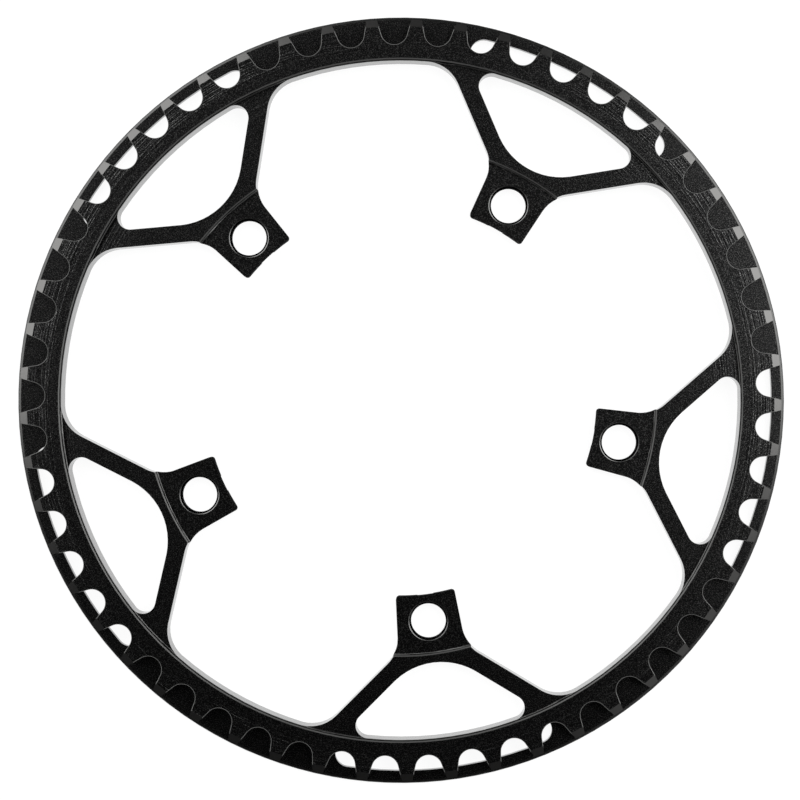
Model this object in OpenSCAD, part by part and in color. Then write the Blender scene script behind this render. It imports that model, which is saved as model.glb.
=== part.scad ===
// Single bicycle chainring with a chain guard, machined from one plate.
// It lies on the guard's outer face at z = 0, with the toothed face up and the crank axis on Z.
// The first arm points along +X and has a tooth gap on its centre line.

/* [Chain] */
// Number of teeth
teeth = 53; // [48:1:64]
// Distance from one chain roller to the next
chain_pitch = 12.7; // [12.4:0.05:13]
// Radius of the seat that a chain roller rests in
roller_seat_r = 3.9; // [3.7:0.05:4.2]
// Slope of a tooth's side, measured from the centre line of the gap beside it
flank_angle = 16.5; // [12:0.5:22]
// Height of the tooth tips above the pitch circle
tooth_height = 3.5; // [2.6:0.1:4.2]
// Thickness of the toothed plate
tooth_t = 2.2; // [1.8:0.1:3]
// Radial width of the bevel on the tooth tips
tip_bevel_w = 2.2; // [0.5:0.1:3]
// Depth of the bevel on the tooth tips
tip_bevel_depth = 0.75; // [0.2:0.05:1.2]
// Width of the broken edge along the front of each tooth gap
gap_edge_break = 0.15; // [0.05:0.05:0.3]

/* [Rim] */
// Width of the rim between the bottoms of the tooth gaps and the openings
rim_w = 4.35; // [3:0.05:8]
// Width of the ledge between the openings and the wall of the upper turned step
ledge_w = 0.15; // [0.1:0.05:0.3]
// Width of the broken edge at the top of each turned step
edge_break = 0.35; // [0.1:0.05:0.6]
// Radius left by the tool at the foot of each turned step
step_fillet_r = 0.4; // [0.2:0.05:0.6]

/* [Chain guard] */
// Thickness of the guard plate
guard_t = 1.5; // [1.2:0.1:2.5]
// Gap between the guard and the teeth, for the chain's outer plates
chain_gap = 2.9; // [2.4:0.1:4]
// How far the chain gap is cut in below the tooth gaps
gap_undercut = 1.8; // [1:0.1:2.5]
// How far the guard stands out past the tooth tips
guard_lip = 1.7; // [1:0.1:6]
// Width of the bevel on the guard's edge, towards the teeth
guard_bevel_w = 0.6; // [0.2:0.05:1]
// Depth of that bevel
guard_bevel_depth = 0.2; // [0.1:0.05:0.3]
// Width and depth of the broken edge outside that bevel
guard_edge_break = 0.25; // [0.1:0.05:0.3]
// Bevel on the guard's edge at the outer face
guard_back_bevel = 0.4; // [0.1:0.05:0.5]
// Width of the curved slots in the guard
slot_w = 8; // [5:0.5:9]
// How far the slots' centre line lies inside the pitch circle
slot_inset = 2.5; // [1.5:0.1:3]
// Angle from an arm's centre line to the centre of a slot's round end
slot_half_angle = 15.5; // [8:0.1:26]

/* [Arms] */
// Diameter of the circle that the bolts sit on
bolt_circle_d = 130; // [108:1:140]
// Number of arms, each with one bolt hole
arm_count = 5; // [4:1:6]
// Diameter of the bolt holes
bolt_hole_d = 10.2; // [8:0.1:11]
// Radial width of the bevel round a bolt hole on the crank's side
hole_bevel_w = 0.6; // [0.3:0.1:1.2]
// Depth of that bevel
hole_bevel_depth = 0.45; // [0.3:0.05:1]
// Radial width of the broken edge round that bevel
hole_edge_w = 0.2; // [0.05:0.05:0.3]
// Depth of that broken edge
hole_edge_depth = 0.07; // [0.02:0.01:0.1]
// Diameter of the recess for a bolt's head in the outer face
bolt_head_d = 16; // [14:0.2:16.6]
// Depth of that recess
bolt_head_depth = 1; // [0.4:0.1:1.4]
// Thickness of the arms and their legs
arm_t = 4.8; // [4.2:0.1:5.4]
// Thickness of the tabs, where the crank's spider sits
tab_t = 3.4; // [2.8:0.1:3.8]
// Distance from the bolt circle out to the wall of the spider seat
seat_reach = 9.4; // [8.5:0.1:10.5]
// Distance from the bolt circle in to the tabs' ends
tab_reach = 7.6; // [7:0.1:10]
// Width of a tab at the bolt circle
tab_w = 18.5; // [17.6:0.1:22.2]
// Angle at which each side of a tab flares outwards
tab_flare = 4.5; // [0:0.5:8]
// Rounding of the tabs' corners
tab_corner_r = 1; // [0.5:0.1:2]
// Distance from the bolt circle out to where the legs branch off the tab
branch_reach = 8.1; // [7:0.1:10]
// Angle between a leg and its arm's centre line
leg_angle = 52; // [46:1:56]
// Width of a leg
leg_w = 5; // [4:0.1:6]
// Rounding between a tab's side and a leg
branch_fillet_r = 10; // [5:0.5:12]
// Rounding between a leg and the rim
rim_fillet_r = 10.5; // [5:0.5:12]
// Distance from the bolt circle out to the inner end of the window
window_reach = 12; // [11:0.1:14]
// Rounding of the window's outer corners
window_corner_r = 3.7; // [2.5:0.1:5]

/* [Hidden] */
$fn = 128;

// Angle from one tooth or arm to the next
tooth_step = 360 / teeth;
arm_step = 360 / arm_count;

// Radii from the crank axis outwards
bolt_r = bolt_circle_d / 2;
pitch_r = chain_pitch / (2 * sin(tooth_step / 2));
root_r = pitch_r - roller_seat_r;
tip_r = pitch_r + tooth_height;
guard_r = tip_r + guard_lip;
gap_floor_r = root_r - gap_undercut;
opening_r = root_r - rim_w;
step_r = opening_r + ledge_w;
tab_end_r = bolt_r - tab_reach;
seat_r = bolt_r + seat_reach;
blank_r = tab_end_r / 2;

// Where a tooth's straight side leaves the roller seat, in a gap centred on +X
flank_x = pitch_r - roller_seat_r * sin(flank_angle);
flank_y = roller_seat_r * cos(flank_angle);

// Heights above the guard's outer face
gap_top = guard_t + chain_gap;
total_t = gap_top + tooth_t;
mid_gap = guard_t + chain_gap / 2;

// How far a cutter runs past the face that it breaks through
clear = 1;
// How far a rounding's circle runs past its tangent lines, so that the edges cross cleanly
cross = 0.005;
// Share by which the piece behind a rounding reaches past its tangent points
past_share = 0.15;
// How far the patch at the foot of a turned step sinks into the body
sink = 0.2;

// The side of a tab meets the outer edge of a leg here
branch_x = bolt_r + branch_reach;
branch = [branch_x, tab_w / 2 + branch_reach * tan(tab_flare)];
// Point where the inner edges of the two legs would meet on the arm's centre line
legs_apex_x = branch_x - branch[1] / tan(leg_angle) + leg_w / sin(leg_angle);
// Rounding of the window's inner end, which touches both legs and ends at the given reach
window_end_r = (bolt_r + window_reach - legs_apex_x) / (1 / sin(leg_angle) - 1);

// Unit vector along a direction, and the one square to it on its left
function along(a) = [cos(a), sin(a)];
function left_of(a) = [-sin(a), cos(a)];

// Centre of a rounding that lies at distance d from the crank axis and at distance s to the left
// of the line through p in direction a
function touch_centre(p, a, s, d) =
    let (h = p * left_of(a) + s)
    h * left_of(a) + sqrt(d * d - h * h) * along(a);

// Point at distance r from c in the direction away from the crank axis
function outward(c, r) = c * (1 + r / norm(c));

// Point a little beyond p, seen from c
function past(c, p) = p + (p - c) * past_share;

// What lies between a corner and a rounding of radius r about c, which touches the corner's
// two sides at t1 and t2
module corner_piece(c, r, t1, corner, t2) {
    difference() {
        polygon([c, past(c, t1), past(c, corner), past(c, t2)]);
        translate(c) circle(r = r + cross);
    }
}

module mirrored() {
    children();
    mirror([0, 1]) children();
}

module at_each_arm() {
    for (i = [0 : arm_count - 1]) rotate(i * arm_step) children();
}

// Tab and both legs with sharp corners, run on past the rim
module arm_blank() {
    reach = opening_r + rim_w;
    leg_end = branch + along(leg_angle) * (reach - branch_x) / cos(leg_angle);
    tab_start = [blank_r, tab_w / 2 - (bolt_r - blank_r) * tan(tab_flare)];
    polygon([
        tab_start, branch, leg_end,
        [leg_end[0], -leg_end[1]], [branch[0], -branch[1]], [tab_start[0], -tab_start[1]]
    ]);
}

// Material that rounds the inner corner between a tab's side and a leg
module branch_fillet() {
    turn = leg_angle - tab_flare;
    side = branch_fillet_r * tan(turn / 2);
    middle = (leg_angle + tab_flare) / 2;
    c = branch + left_of(middle) * branch_fillet_r / cos(turn / 2);
    corner_piece(c, branch_fillet_r, branch - side * along(tab_flare), branch,
                 branch + side * along(leg_angle));
}

// Material that rounds the corner between a leg's outer edge and the rim
module rim_fillet() {
    c = touch_centre(branch, leg_angle, rim_fillet_r, opening_r - rim_fillet_r);
    corner = touch_centre(branch, leg_angle, 0, opening_r);
    corner_piece(c, rim_fillet_r, c - rim_fillet_r * left_of(leg_angle), corner,
                 outward(c, rim_fillet_r));
}

// Sliver that the rounding takes off a tab's corner
module tab_corner_cut() {
    c = touch_centre(branch, tab_flare, -tab_corner_r, tab_end_r + tab_corner_r);
    corner = touch_centre(branch, tab_flare, 0, tab_end_r);
    corner_piece(c, tab_corner_r, c + tab_corner_r * left_of(tab_flare), corner,
                 outward(c, -tab_corner_r));
}

// The large opening: the middle and the five bays between the arms, in one outline
module spider_opening() {
    difference() {
        circle(r = opening_r);
        at_each_arm() difference() {
            union() {
                arm_blank();
                mirrored() {
                    branch_fillet();
                    rim_fillet();
                }
            }
            circle(r = tab_end_r);
            mirrored() tab_corner_cut();
        }
    }
}

// The window between an arm's two legs and the rim
module window() {
    reach = opening_r + rim_w;
    apex = [legs_apex_x, 0];
    end_c = [legs_apex_x + window_end_r / sin(leg_angle), 0];
    corner_c = touch_centre(apex, leg_angle, -window_corner_r, opening_r - window_corner_r);
    corner = touch_centre(apex, leg_angle, 0, opening_r);
    difference() {
        intersection() {
            polygon([
                apex,
                [reach, (reach - legs_apex_x) * tan(leg_angle)],
                [reach, -(reach - legs_apex_x) * tan(leg_angle)]
            ]);
            circle(r = opening_r);
        }
        corner_piece(end_c, window_end_r, end_c + window_end_r * left_of(leg_angle), apex,
                     end_c - window_end_r * left_of(-leg_angle));
        mirrored() corner_piece(corner_c, window_corner_r,
                                corner_c + window_corner_r * left_of(leg_angle), corner,
                                outward(corner_c, window_corner_r));
    }
}

// Tool mark at the foot of a turned step whose wall stands at radius r, over a face at height z
module step_foot(r, z) {
    side = step_fillet_r + sink;
    translate([r - step_fillet_r, z]) difference() {
        translate([0, -sink]) square([side, side]);
        translate([0, step_fillet_r]) circle(r = step_fillet_r + cross);
    }
}

// Half of the plate's section, as it leaves the lathe
module plate_section() {
    polygon([
        [blank_r, 0],
        [guard_r - guard_back_bevel, 0],
        [guard_r, guard_back_bevel],
        [guard_r, guard_t - guard_bevel_depth - guard_edge_break],
        [guard_r - guard_edge_break, guard_t - guard_bevel_depth],
        [guard_r - guard_edge_break - guard_bevel_w, guard_t],
        [gap_floor_r, guard_t],
        [gap_floor_r, gap_top],
        [tip_r, gap_top],
        [tip_r, total_t - tip_bevel_depth],
        [tip_r - tip_bevel_w, total_t],
        [step_r + edge_break, total_t],
        [step_r, total_t - edge_break],
        [step_r, arm_t],
        [seat_r + edge_break, arm_t],
        [seat_r, arm_t - edge_break],
        [seat_r, tab_t],
        [blank_r, tab_t]
    ]);
    step_foot(step_r, arm_t);
    step_foot(seat_r, tab_t);
}

// Gap between two teeth: the roller seat and the straight sides that open from it
module tooth_gap() {
    out_x = guard_r + clear;
    out_y = flank_y + (out_x - flank_x) * tan(flank_angle);
    translate([pitch_r, 0]) circle(r = roller_seat_r + cross);
    polygon([[flank_x, -flank_y], [out_x, -out_y], [out_x, out_y], [flank_x, flank_y]]);
}

// Broken edge along the front of a tooth gap: a cone at the seat and a prism along each side
module tooth_gap_edge() {
    run = (tip_r + clear - flank_x) / cos(flank_angle);
    depth = gap_edge_break;
    over = gap_edge_break;
    translate([pitch_r, 0, total_t - depth])
        cylinder(r1 = roller_seat_r + cross, r2 = roller_seat_r + cross + depth + over,
                 h = depth + over);
    for (side = [-1, 1]) translate([flank_x, side * flank_y, total_t]) rotate(side * flank_angle)
        rotate([90, 0, 90]) linear_extrude(height = run) polygon([
            [-side * depth, over], [-side * depth, -depth], [0, -depth],
            [side * (depth + over), over]
        ]);
}

// Curved slot in the guard, with round ends
module guard_slot() {
    slot_r = pitch_r - slot_inset;
    fan = 2 * slot_r;
    intersection() {
        difference() {
            circle(r = slot_r + slot_w / 2);
            circle(r = slot_r - slot_w / 2);
        }
        polygon([[0, 0], fan * along(slot_half_angle), fan * along(-slot_half_angle)]);
    }
    mirrored() rotate(slot_half_angle) translate([slot_r, 0]) circle(r = slot_w / 2 + cross);
}

// Cone that widens a round hole of radius r in the tab's face by w at that face, over a depth d,
// and runs on past the face
module hole_cone(r, w, d) {
    translate([bolt_r, 0, tab_t - d]) cylinder(r1 = r, r2 = r + 2 * w, h = 2 * d);
}

// Bolt hole with the recess for the bolt's head, and the bevel on the crank's side
module bolt_hole() {
    hole_r = bolt_hole_d / 2;
    bevel_r = hole_r + hole_bevel_w;
    translate([bolt_r, 0, -clear]) cylinder(r = hole_r, h = total_t + 2 * clear);
    translate([bolt_r, 0, -clear]) cylinder(r = bolt_head_d / 2, h = bolt_head_depth + clear);
    hole_cone(hole_r, hole_bevel_w, hole_bevel_depth);
    hole_cone(bevel_r - hole_edge_depth * hole_bevel_w / hole_bevel_depth, hole_edge_w,
              hole_edge_depth);
}

module chainring() {
    through = total_t + 2 * clear;
    color([0.06, 0.06, 0.065]) difference() {
        rotate_extrude() plate_section();
        translate([0, 0, -clear]) linear_extrude(height = through) spider_opening();
        at_each_arm() {
            translate([0, 0, -clear]) linear_extrude(height = through) window();
            translate([0, 0, -clear]) linear_extrude(height = mid_gap + clear) guard_slot();
            bolt_hole();
        }
        for (i = [0 : teeth - 1]) rotate(i * tooth_step) {
            translate([0, 0, mid_gap]) linear_extrude(height = total_t) tooth_gap();
            tooth_gap_edge();
        }
    }
}

chainring();
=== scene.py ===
"""Finish, light and camera for the bicycle chainring. All sizes are in metres, in the part's own frame."""

from math import cos, pi, radians, sin, tan

import bmesh
import bpy
from bpy.props import FloatProperty, FloatVectorProperty, PointerProperty
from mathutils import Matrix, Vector

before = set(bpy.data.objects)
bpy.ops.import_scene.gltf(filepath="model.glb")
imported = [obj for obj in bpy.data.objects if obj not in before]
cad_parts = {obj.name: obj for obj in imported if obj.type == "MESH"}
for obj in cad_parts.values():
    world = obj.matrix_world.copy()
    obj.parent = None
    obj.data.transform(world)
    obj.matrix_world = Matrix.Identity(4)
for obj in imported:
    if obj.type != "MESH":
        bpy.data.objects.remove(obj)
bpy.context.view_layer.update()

bl_info = {
    "name": "Bicycle chainring",
    "version": (1, 0, 0),
    "blender": (4, 5, 0),
    "location": "3D View > Sidebar > Chainring",
    "description": "Gives the chainring its anodised finish and sets up the studio round it",
    "category": "Object",
}

MM = 0.001


class ChainringFinish(bpy.types.PropertyGroup):
    """Colours and sizes of the anodised finish"""

    dark_grain: FloatVectorProperty(
        name="Dark grain", description="Colour that the dull grains of the blasted faces mirror",
        subtype="COLOR", size=3, default=(0.0145, 0.0145, 0.0148), min=0, max=1)
    bright_grain: FloatVectorProperty(
        name="Bright grain", description="Colour that the bright grains of the blasted faces mirror",
        subtype="COLOR", size=3, default=(0.137, 0.137, 0.134), min=0, max=1)
    cut_metal: FloatVectorProperty(
        name="Cut metal", description="Colour that the turned bevels mirror",
        subtype="COLOR", size=3, default=(0.096, 0.095, 0.093), min=0, max=1)
    guard_metal: FloatVectorProperty(
        name="Guard metal", description="Colour that the bevel of the guard's rim mirrors",
        subtype="COLOR", size=3, default=(0.061, 0.061, 0.06), min=0, max=1)
    hole_metal: FloatVectorProperty(
        name="Hole metal", description="Colour that the fine edge round a bolt hole mirrors",
        subtype="COLOR", size=3, default=(0.13, 0.13, 0.128), min=0, max=1)
    gap_edge: FloatVectorProperty(
        name="Gap edge", description="Colour that the broken edges of the tooth gaps mirror",
        subtype="COLOR", size=3, default=(0.18, 0.18, 0.176), min=0, max=1)
    step_edge: FloatVectorProperty(
        name="Step edge", description="Colour that the broken edges of the turned steps mirror",
        subtype="COLOR", size=3, default=(0.1, 0.1, 0.098), min=0, max=1)
    dye: FloatVectorProperty(
        name="Dye", description="Colour of the walls and of the holes' cones",
        subtype="COLOR", size=3, default=(0.0026, 0.0026, 0.0027), min=0, max=1)
    grazing_gloss: FloatProperty(
        name="Grazing gloss", description="How much of a metal's gloss is left at a grazing view",
        subtype="FACTOR", default=0.8, min=0, max=1)
    face_roughness: FloatProperty(
        name="Face roughness", description="Roughness of the flat faces",
        default=0.31, min=0, max=1)
    bevel_roughness: FloatProperty(
        name="Bevel roughness", description="Roughness of the turned bevels",
        default=0.31, min=0, max=1)
    edge_roughness: FloatProperty(
        name="Edge roughness", description="Roughness of the broken edges",
        default=0.5, min=0, max=1)
    wall_roughness: FloatProperty(
        name="Wall roughness", description="Roughness of the milled walls under their gloss",
        default=0.3, min=0, max=1)
    matt_roughness: FloatProperty(
        name="Matt roughness", description="Roughness of the teeth's, steps' and tabs' walls",
        default=1, min=0, max=1)
    gloss_roughness: FloatProperty(
        name="Gloss roughness", description="Roughness of the milled walls' gloss",
        default=0.05, min=0, max=1)
    gloss_ior: FloatProperty(
        name="Gloss IOR", description="Index of refraction of the milled walls' gloss",
        default=1.76, min=1, max=4)
    seat_radius: FloatProperty(
        name="Seat radius", description="Radius of the turned wall round the spider's seats",
        subtype="DISTANCE", unit="LENGTH", default=74.4 * MM, min=0, max=200 * MM)
    step_radius: FloatProperty(
        name="Step radius", description="The turned step of the toothed plate begins here",
        subtype="DISTANCE", unit="LENGTH", default=99.02 * MM, min=0, max=200 * MM)
    tooth_radius: FloatProperty(
        name="Tooth radius", description="The broken edges farther out than this are the teeth's",
        subtype="DISTANCE", unit="LENGTH", default=100.5 * MM, min=0, max=200 * MM)
    guard_radius: FloatProperty(
        name="Guard radius", description="What lies farther out than this is the guard's rim",
        subtype="DISTANCE", unit="LENGTH", default=111 * MM, min=0, max=200 * MM)
    upper_height: FloatProperty(
        name="Upper height", description="What lies above this belongs to the toothed plate",
        subtype="DISTANCE", unit="LENGTH", default=4.3 * MM, min=0, max=10 * MM)
    grain_size: FloatProperty(
        name="Grain size", description="Size of the speckle left by blasting before the dye",
        subtype="DISTANCE", unit="LENGTH", default=0.26 * MM, min=0.05 * MM, max=2 * MM)
    grain_depth: FloatProperty(
        name="Grain depth", description="Height of the speckle's bumps",
        subtype="DISTANCE", unit="LENGTH", default=0.006 * MM, min=0, max=0.1 * MM)
    mark_width: FloatProperty(
        name="Mark width", description="Radial width of the marks left by turning",
        subtype="DISTANCE", unit="LENGTH", default=0.48 * MM, min=0.1 * MM, max=3 * MM)
    mark_angle: FloatProperty(
        name="Mark angle", description="Angle that one turning mark runs over",
        subtype="ANGLE", unit="ROTATION", default=radians(14), min=radians(1), max=radians(90))
    mark_depth: FloatProperty(
        name="Mark depth", description="Depth of the turning marks",
        subtype="DISTANCE", unit="LENGTH", default=0.036 * MM, min=0, max=0.2 * MM)
    mark_start: FloatProperty(
        name="Mark start", description="Distance from the axis at which the arms' marks begin",
        subtype="DISTANCE", unit="LENGTH", default=88 * MM, min=0, max=200 * MM)
    arm_marks: FloatProperty(
        name="Arm marks", description="How deep the arms' marks are, as a share of the teeth's",
        subtype="FACTOR", default=0.5, min=0, max=1)


class ChainringStage(bpy.types.PropertyGroup):
    """Camera, floor and lamps"""

    lens: FloatProperty(
        name="Lens", description="Focal length of the camera",
        subtype="DISTANCE_CAMERA", default=71.3, min=10, max=300)
    camera_place: FloatVectorProperty(
        name="Camera place", description="Where the camera stands, looking straight down",
        subtype="XYZ", unit="LENGTH", size=3, default=(14.26 * MM, 2.82 * MM, 466.3 * MM))
    camera_turn: FloatProperty(
        name="Camera turn", description="Angle from the part's X axis to the picture's right",
        subtype="ANGLE", unit="ROTATION", default=radians(10.9), min=-pi, max=pi)
    camera_shift: FloatProperty(
        name="Camera shift", description="Sideways shift of the lens, as a share of the picture",
        default=-0.0633, min=-1, max=1)
    floor_colour: FloatVectorProperty(
        name="Floor colour", description="Colour of the floor",
        subtype="COLOR", size=3, default=(0.8, 0.8, 0.8), min=0, max=1)
    floor_glow: FloatProperty(
        name="Floor glow", description="Light that the floor adds to what it reflects, to look white",
        default=0.94, min=0, max=1)
    shadow_share: FloatProperty(
        name="Shadow share", description="How much of the lamps' light on the floor is seen",
        default=0.14, min=0, max=1)
    right_light: FloatProperty(
        name="Right light", description="Brightness of the softbox on the picture's right",
        default=4.4, min=0, max=50)
    left_light: FloatProperty(
        name="Left light", description="Brightness of the softbox on the picture's left",
        default=3.6, min=0, max=50)
    fill_light: FloatProperty(
        name="Fill light", description="Brightness of the weak lamp below on the right",
        default=0.65, min=0, max=50)
    room_light: FloatProperty(
        name="Room light", description="Brightness of the dim room above",
        default=0.03, min=0, max=5)


class Wiring:
    """Adds nodes to one shader tree and links them, so that a formula reads in order."""

    def __init__(self, tree):
        self.tree = tree

    def node(self, kind, inputs=(), **settings):
        """Adds a node, with its settings, and fills its inputs, which are (socket, value) pairs."""
        made = self.tree.nodes.new(kind)
        for name, value in settings.items():
            setattr(made, name, value)
        for socket, value in inputs:
            self.fill(made.inputs[socket], value)
        return made

    def fill(self, socket, value):
        """Links another node's output to the socket, or sets a plain value on it."""
        if isinstance(value, bpy.types.NodeSocket):
            self.tree.links.new(value, socket)
        else:
            socket.default_value = value

    def math(self, operation, *values):
        """A Math node's result."""
        return self.node("ShaderNodeMath", list(enumerate(values)), operation=operation).outputs[0]

    def vector(self, operation, *values):
        """A Vector Math node's result, which is a number for LENGTH and a vector otherwise."""
        inputs = [(place, self.three(value)) for place, value in enumerate(values)]
        made = self.node("ShaderNodeVectorMath", inputs, operation=operation)
        return made.outputs["Value" if operation == "LENGTH" else "Vector"]

    def three(self, value):
        """The value itself, or a plain number as a vector."""
        return (value,) * 3 if isinstance(value, (int, float)) else value

    def rise(self, value, low, high):
        """Goes smoothly from 0 at low to 1 at high."""
        inputs = [("Value", value), ("From Min", low), ("From Max", high)]
        made = self.node("ShaderNodeMapRange", inputs, interpolation_type="SMOOTHSTEP")
        return made.outputs["Result"]

    def below(self, value, low, high):
        """Goes smoothly from 1 at low to 0 at high."""
        return self.math("SUBTRACT", 1, self.rise(value, low, high))

    def between(self, value, start, end):
        """1 between two values, each of which is given as where its smooth change starts and ends."""
        return self.math("MULTIPLY", self.rise(value, *start), self.below(value, *end))

    def blend(self, share, first, second):
        """A number between first, at share 0, and second, at share 1."""
        inputs = [(0, share), (2, first), (3, second)]
        return self.node("ShaderNodeMix", inputs, data_type="FLOAT").outputs[0]

    def blend_colour(self, share, first, second):
        """A colour between first, at share 0, and second, at share 1."""
        inputs = [(0, share), (6, first), (7, second)]
        return self.node("ShaderNodeMix", inputs, data_type="RGBA").outputs[2]


def new_group(name, inputs, outputs):
    """An empty shader group, its wiring, its input node and its output node."""
    tree = bpy.data.node_groups.new(name, "ShaderNodeTree")
    for label, kind in inputs:
        tree.interface.new_socket(label, in_out="INPUT", socket_type=kind)
    for label, kind in outputs:
        tree.interface.new_socket(label, in_out="OUTPUT", socket_type=kind)
    wiring = Wiring(tree)
    return tree, wiring, wiring.node("NodeGroupInput"), wiring.node("NodeGroupOutput")


def speckle_group():
    """Fine grain of a blasted and dyed surface: a mask of bright grains and a bump height."""
    tree, wiring, given, result = new_group(
        "Speckle",
        [("Place", "NodeSocketVector"), ("Grain Size", "NodeSocketFloat"),
         ("Depth", "NodeSocketFloat")],
        [("Grains", "NodeSocketFloat"), ("Height", "NodeSocketFloat")])
    dull = 0.4
    bright = 0.74
    # The noise is faint on the planes of its own grid, and this lift keeps the flat faces off them.
    lift = (0, 0, 0.35)
    cells = wiring.vector("DIVIDE", given.outputs["Place"], given.outputs["Grain Size"])
    inputs = [("Vector", wiring.vector("ADD", cells, lift)), ("Scale", 1), ("Detail", 1)]
    noise = wiring.node("ShaderNodeTexNoise", inputs).outputs["Fac"]
    # Squared, so that bright grains are few.
    grains = wiring.math("POWER", wiring.rise(noise, dull, bright), 2)
    wiring.fill(result.inputs["Grains"], grains)
    wiring.fill(result.inputs["Height"], wiring.math("MULTIPLY", noise, given.outputs["Depth"]))
    return tree


def turning_group():
    """Broken concentric marks round the Z axis, as a lathe leaves them: a bump height."""
    tree, wiring, given, result = new_group(
        "Turning marks",
        [("Place", "NodeSocketVector"), ("Width", "NodeSocketFloat"),
         ("Angle", "NodeSocketFloat"), ("Depth", "NodeSocketFloat")],
        [("Height", "NodeSocketFloat")])
    foot = 0.43
    crest = 0.6
    flat = wiring.vector("MULTIPLY", given.outputs["Place"], (1, 1, 0))
    around = wiring.vector("DIVIDE", wiring.vector("NORMALIZE", flat), given.outputs["Angle"])
    across = wiring.math("DIVIDE", wiring.vector("LENGTH", flat), given.outputs["Width"])
    ring = wiring.node("ShaderNodeCombineXYZ", [("Z", across)]).outputs[0]
    inputs = [("Vector", wiring.vector("ADD", around, ring)), ("Scale", 1), ("Detail", 1)]
    noise = wiring.node("ShaderNodeTexNoise", inputs).outputs["Fac"]
    marks = wiring.rise(noise, foot, crest)
    wiring.fill(result.inputs["Height"], wiring.math("MULTIPLY", marks, given.outputs["Depth"]))
    return tree


class Surfaces:
    """Masks that tell the part's surfaces apart, each 1 on its own surfaces and 0 elsewhere. The
    upright share of the normal is 1 on a face that looks up and 0 on a wall, and the radius is
    the distance from the axis."""

    # Where each kind of surface starts and ends, as the two ends of a smooth change.
    wall_ends = (0.2, 0.4)
    slope_starts = (0.5, 0.6)
    slope_ends = (0.8, 0.9)
    bevel_starts = (0.9, 0.93)
    bevel_ends = (0.962, 0.985)
    # Within these, the fillet inside the seat's wall and the broken edge outside it are found.
    seat_fillet = 0.6 * MM
    seat_edge = 0.3 * MM

    def __init__(self, wiring, finish, place):
        normal = wiring.node("ShaderNodeNewGeometry").outputs["Normal"]
        upright = wiring.node("ShaderNodeSeparateXYZ", [(0, normal)]).outputs["Z"]
        level = wiring.math("ABSOLUTE", upright)
        height = wiring.node("ShaderNodeSeparateXYZ", [(0, place)]).outputs["Z"]
        self.radius = wiring.vector("LENGTH", wiring.vector("MULTIPLY", place, (1, 1, 0)))

        self.upper = wiring.math("GREATER_THAN", height, finish.upper_height)
        self.teeth = wiring.math("GREATER_THAN", self.radius, finish.tooth_radius)
        self.guard = wiring.math("GREATER_THAN", self.radius, finish.guard_radius)
        self.tab = wiring.math("LESS_THAN", self.radius, finish.seat_radius - self.seat_fillet)
        seat = wiring.math("LESS_THAN", self.radius, finish.seat_radius + self.seat_edge)
        seat_step = wiring.math("SUBTRACT", seat, self.tab)
        stepped = wiring.math("GREATER_THAN", self.radius, finish.step_radius)
        plate = wiring.math("MULTIPLY", self.upper, stepped)

        self.face = wiring.rise(level, *self.bevel_ends)
        self.bevel = wiring.between(upright, self.bevel_starts, self.bevel_ends)
        slope = wiring.between(upright, self.slope_starts, self.slope_ends)
        self.edge = wiring.math("MULTIPLY", slope, wiring.math("MAXIMUM", self.upper, seat_step))
        hole_cone = wiring.math("MULTIPLY", slope, self.tab)
        self.wall = wiring.below(level, *self.wall_ends)
        matt_wall = wiring.math("MULTIPLY", self.wall, wiring.math("MAXIMUM", seat, plate))
        self.milled = wiring.math("SUBTRACT", self.wall, matt_wall)
        self.matt = wiring.math("MAXIMUM", matt_wall, hole_cone)
        self.dyed = wiring.math("MAXIMUM", self.wall, hole_cone)


def opaque(colour):
    """A colour in the form that a shader socket takes."""
    return (*colour, 1)


def surface_colour(wiring, finish, on, grains):
    """Speckled faces, lighter cut bevels and broken edges, and dyed walls."""
    faces = wiring.blend_colour(grains, opaque(finish.dark_grain), opaque(finish.bright_grain))
    cut = wiring.blend_colour(on.guard, opaque(finish.cut_metal), opaque(finish.guard_metal))
    cut = wiring.blend_colour(on.tab, cut, opaque(finish.hole_metal))
    broken = wiring.blend_colour(on.teeth, opaque(finish.step_edge), opaque(finish.gap_edge))
    colour = wiring.blend_colour(on.bevel, faces, cut)
    colour = wiring.blend_colour(on.edge, colour, broken)
    return wiring.blend_colour(on.dyed, colour, opaque(finish.dye))


def surface_roughness(wiring, finish, on):
    """Each kind of surface at its own roughness."""
    rough = wiring.blend(on.bevel, finish.face_roughness, finish.bevel_roughness)
    rough = wiring.blend(on.edge, rough, finish.edge_roughness)
    rough = wiring.blend(on.wall, rough, finish.wall_roughness)
    return wiring.blend(on.matt, rough, finish.matt_roughness)


def surface_normal(wiring, finish, on, marks, grit):
    """Turning marks on the teeth and, fainter, on the arms' outer ends, and grit on all faces."""
    arm_fade = 6 * MM
    step_fade = 1 * MM
    tooth_fade = 3 * MM
    arms = wiring.between(on.radius, (finish.mark_start, finish.mark_start + arm_fade),
                          (finish.step_radius - step_fade, finish.step_radius))
    arms = wiring.math("MULTIPLY", arms, finish.arm_marks)
    teeth = wiring.rise(on.radius, finish.tooth_radius, finish.tooth_radius + tooth_fade)
    turned = wiring.math("MULTIPLY", wiring.math("MULTIPLY", on.face, on.upper),
                         wiring.math("ADD", arms, teeth))
    height = wiring.math("ADD", wiring.math("MULTIPLY", marks, turned),
                         wiring.math("MULTIPLY", grit, on.face))
    # The height is already in metres, so the bump takes it as it is.
    return wiring.node("ShaderNodeBump", [("Height", height), ("Distance", 1)]).outputs["Normal"]


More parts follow.
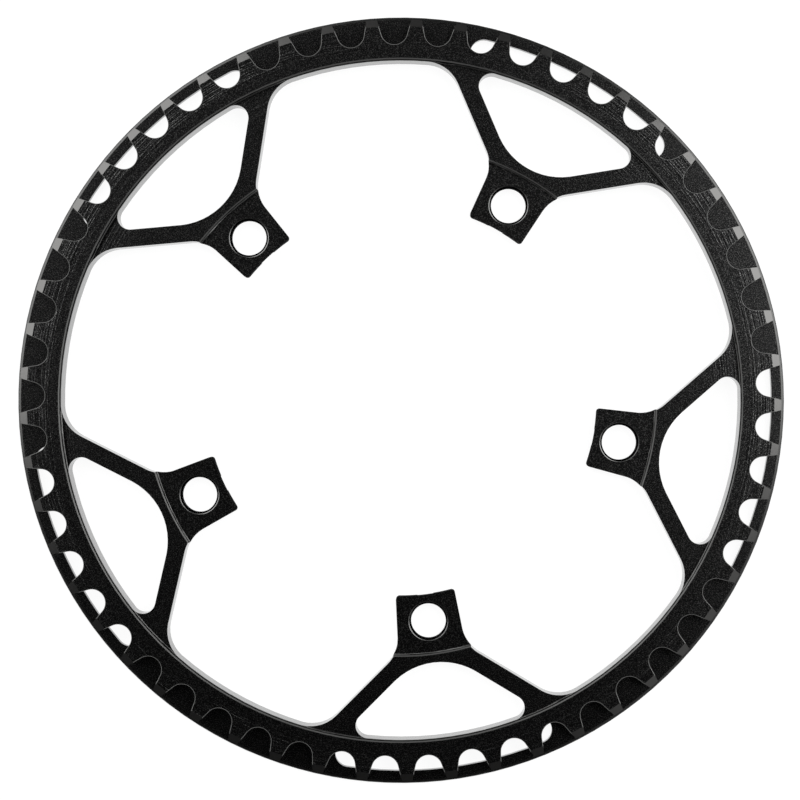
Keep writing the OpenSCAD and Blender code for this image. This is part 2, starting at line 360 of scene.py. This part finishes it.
def anodised_aluminium(finish):
    """Black anodised aluminium: blasted faces with turning marks, lighter turned bevels and
    edges, glossy milled walls, and matt walls on the teeth, the turned steps and the tabs."""
    material = bpy.data.materials.new("anodised_aluminium")
    material.use_nodes = True
    wiring = Wiring(material.node_tree)
    place = wiring.node("ShaderNodeTexCoord").outputs["Object"]
    on = Surfaces(wiring, finish, place)
    speckle = wiring.node("ShaderNodeGroup", [
        ("Place", place), ("Grain Size", finish.grain_size), ("Depth", finish.grain_depth)],
        node_tree=speckle_group()).outputs
    turning = wiring.node("ShaderNodeGroup", [
        ("Place", place), ("Width", finish.mark_width), ("Angle", finish.mark_angle),
        ("Depth", finish.mark_depth)], node_tree=turning_group()).outputs

    shader = material.node_tree.nodes["Principled BSDF"].inputs
    wiring.fill(shader["Base Color"], surface_colour(wiring, finish, on, speckle["Grains"]))
    wiring.fill(shader["Metallic"], wiring.math("SUBTRACT", 1, on.milled))
    wiring.fill(shader["Roughness"], surface_roughness(wiring, finish, on))
    wiring.fill(shader["Specular Tint"], opaque([finish.grazing_gloss] * 3))
    wiring.fill(shader["Coat Weight"], on.milled)
    wiring.fill(shader["Coat Roughness"], finish.gloss_roughness)
    wiring.fill(shader["Coat IOR"], finish.gloss_ior)
    wiring.fill(shader["Normal"],
                surface_normal(wiring, finish, on, turning["Height"], speckle["Height"]))
    return material


class CHAINRING_OT_finish(bpy.types.Operator):
    """Give the chainring its black anodised finish"""

    bl_idname = "chainring.finish"
    bl_label = "Anodised finish"

    def execute(self, context):
        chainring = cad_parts.get("chainring")
        if chainring is None:
            raise RuntimeError("the packed model has no chainring")
        material = anodised_aluminium(context.scene.chainring_finish)
        for slot in chainring.material_slots:
            slot.material = material
        return {"FINISHED"}


def seen_directly(wiring):
    """1 where a camera, mirror or glass ray meets the surface, and 0 for scattered light."""
    path = wiring.node("ShaderNodeLightPath").outputs
    seen = wiring.math("MAXIMUM", path["Is Camera Ray"], path["Is Glossy Ray"])
    return wiring.math("MAXIMUM", seen, path["Is Transmission Ray"])


def floor_material(stage):
    """Pale floor that looks white but keeps the shadow of what lies on it."""
    material = bpy.data.materials.new("studio_floor")
    material.use_nodes = True
    tree = material.node_tree
    tree.nodes.remove(tree.nodes["Principled BSDF"])
    wiring = Wiring(tree)
    colour = Vector(stage.floor_colour)
    faint_colour = colour * stage.shadow_share
    plain = wiring.node("ShaderNodeBsdfDiffuse", [("Color", opaque(colour))])
    faint = wiring.node("ShaderNodeBsdfDiffuse", [("Color", opaque(faint_colour))])
    glow = wiring.node("ShaderNodeEmission", [("Strength", stage.floor_glow)])
    white = wiring.node("ShaderNodeAddShader", [(0, faint.outputs[0]), (1, glow.outputs[0])])
    surface = wiring.node("ShaderNodeMixShader", [
        (0, seen_directly(wiring)), (1, plain.outputs[0]), (2, white.outputs[0])])
    wiring.fill(tree.nodes["Material Output"].inputs["Surface"], surface.outputs[0])
    return material


def add_floor(stage):
    """A wide flat floor just under the part."""
    half_width = 12
    gap_under = 0.05 * MM
    mesh = bpy.data.meshes.new("studio_floor")
    work = bmesh.new()
    bmesh.ops.create_grid(work, x_segments=1, y_segments=1, size=half_width)
    bmesh.ops.translate(work, vec=(0, 0, -gap_under), verts=work.verts)
    work.to_mesh(mesh)
    work.free()
    mesh.materials.append(floor_material(stage))
    floor = bpy.data.objects.new("studio_floor", mesh)
    bpy.context.scene.collection.objects.link(floor)


def add_lamp(name, light, direction, from_zenith, across, up, distance=1.2):
    """A softbox aimed at the part. direction is the compass angle it shines from, measured from
    the part's X axis, and across and up are the angles that it fills, seen from the part."""
    data = bpy.data.lights.new(name, "AREA")
    data.shape = "RECTANGLE"
    data.size = 2 * distance * tan(across / 2)
    data.size_y = 2 * distance * tan(up / 2)
    data.energy = light * pi * data.size * data.size_y
    lamp = bpy.data.objects.new(name, data)
    towards = Vector((sin(from_zenith) * cos(direction), sin(from_zenith) * sin(direction),
                      cos(from_zenith)))
    lamp.location = towards * distance
    lamp.rotation_mode = "QUATERNION"
    lamp.rotation_quaternion = towards.to_track_quat("Z", "Y")
    lamp.visible_camera = False
    bpy.context.scene.collection.objects.link(lamp)


def set_world(stage):
    """A dim room whose walls look white behind the part. They end at these heights over the
    horizon, as the sine of the angle."""
    white_ends = 0.26
    dim_starts = 0.4
    world = bpy.data.worlds.new("studio_room")
    world.use_nodes = True
    bpy.context.scene.world = world
    wiring = Wiring(world.node_tree)
    way = wiring.node("ShaderNodeTexCoord").outputs["Generated"]
    height = wiring.node("ShaderNodeSeparateXYZ", [(0, way)]).outputs["Z"]
    low = wiring.below(height, white_ends, dim_starts)
    white = wiring.math("MULTIPLY", low, seen_directly(wiring))
    background = world.node_tree.nodes["Background"]
    wiring.fill(background.inputs["Color"], (1, 1, 1, 1))
    wiring.fill(background.inputs["Strength"], wiring.blend(white, stage.room_light, 1))


def add_camera(stage):
    """The camera looks straight down on the part."""
    data = bpy.data.cameras.new("camera")
    data.lens = stage.lens
    data.sensor_width = 36
    data.shift_x = stage.camera_shift
    camera = bpy.data.objects.new("camera", data)
    camera.location = stage.camera_place
    camera.rotation_euler = (0, 0, stage.camera_turn)
    bpy.context.scene.collection.objects.link(camera)
    bpy.context.scene.camera = camera


class CHAINRING_OT_stage(bpy.types.Operator):
    """Set up the floor, the lamps and the camera"""

    bl_idname = "chainring.stage"
    bl_label = "Studio"

    def execute(self, context):
        stage = context.scene.chainring_stage
        add_floor(stage)
        set_world(stage)
        # The lamps stand by the picture: 0 is its right and a quarter turn is its top.
        turn = stage.camera_turn
        add_lamp("right_softbox", stage.right_light, direction=turn + radians(22),
                 from_zenith=radians(49), across=radians(42), up=radians(52))
        add_lamp("left_softbox", stage.left_light, direction=turn + radians(149),
                 from_zenith=radians(51.5), across=radians(56), up=radians(42))
        add_lamp("fill_lamp", stage.fill_light, direction=turn + radians(325),
                 from_zenith=radians(51), across=radians(40), up=radians(20))
        add_camera(stage)
        context.scene.view_settings.view_transform = "Standard"
        return {"FINISHED"}


class CHAINRING_PT_panel(bpy.types.Panel):
    """Settings of the chainring's finish and studio"""

    bl_label = "Chainring"
    bl_space_type = "VIEW_3D"
    bl_region_type = "UI"
    bl_category = "Chainring"

    def draw(self, context):
        steps = (
            (context.scene.chainring_finish, CHAINRING_OT_finish),
            (context.scene.chainring_stage, CHAINRING_OT_stage),
        )
        for settings, step in steps:
            box = self.layout.box()
            for name in settings.bl_rna.properties.keys():
                if name not in ("name", "rna_type"):
                    box.prop(settings, name)
            box.operator(step.bl_idname)


CLASSES = (
    ChainringFinish, ChainringStage, CHAINRING_OT_finish, CHAINRING_OT_stage, CHAINRING_PT_panel)


def register():
    for each in CLASSES:
        bpy.utils.register_class(each)
    bpy.types.Scene.chainring_finish = PointerProperty(type=ChainringFinish)
    bpy.types.Scene.chainring_stage = PointerProperty(type=ChainringStage)


def unregister():
    del bpy.types.Scene.chainring_stage
    del bpy.types.Scene.chainring_finish
    for each in reversed(CLASSES):
        bpy.utils.unregister_class(each)


def main():
    register()
    bpy.ops.chainring.finish()
    bpy.ops.chainring.stage()


if __name__ == "__main__":
    main()
